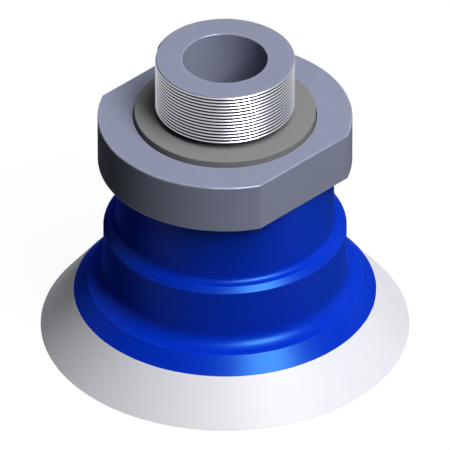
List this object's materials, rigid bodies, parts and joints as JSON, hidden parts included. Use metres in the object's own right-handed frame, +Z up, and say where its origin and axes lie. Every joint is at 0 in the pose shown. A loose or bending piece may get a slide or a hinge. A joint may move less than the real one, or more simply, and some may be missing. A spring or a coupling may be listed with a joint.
{
  "type": "vacuum pad",
  "caption": "Round flat vacuum pad: hard blue body with support cleats, soft white sealing lip, threaded aluminium fitting with spanner flats, captive sealing washer and filter screen.",
  "frame": {"origin": "centre of the circle on which the lip's rim stands, on the gripped surface", "axes": "+Z up along the bore towards the thread, +X normal to one spanner flat"},
  "size_m": [0.035, 0.035, 0.0305],
  "materials": {
    "fitting_aluminium": "turned, satin",
    "washer_grey": "matt",
    "hard_elastomer_blue": "moulded, semi-gloss",
    "soft_elastomer_white": "moulded, satin",
    "stainless_mesh": "woven wire",
    "spring_steel": "plain"
  },
  "bodies": {
    "pad": {"threaded_fitting": "fitting_aluminium", "sealing_washer": "washer_grey", "pad_body": "hard_elastomer_blue", "filter_screen": "stainless_mesh", "filter_snap_ring": "spring_steel"},
    "lip": {"sealing_lip": "soft_elastomer_white"}
  },
  "joints": [
    {"name": "lip_flex", "type": "slide", "parent": "pad", "child": "lip", "axis": [0, 0, 1], "range_m": [0, 0.0025], "stiffness_N_per_m": 1000, "deforming": ["sealing_lip"]}
  ]
}
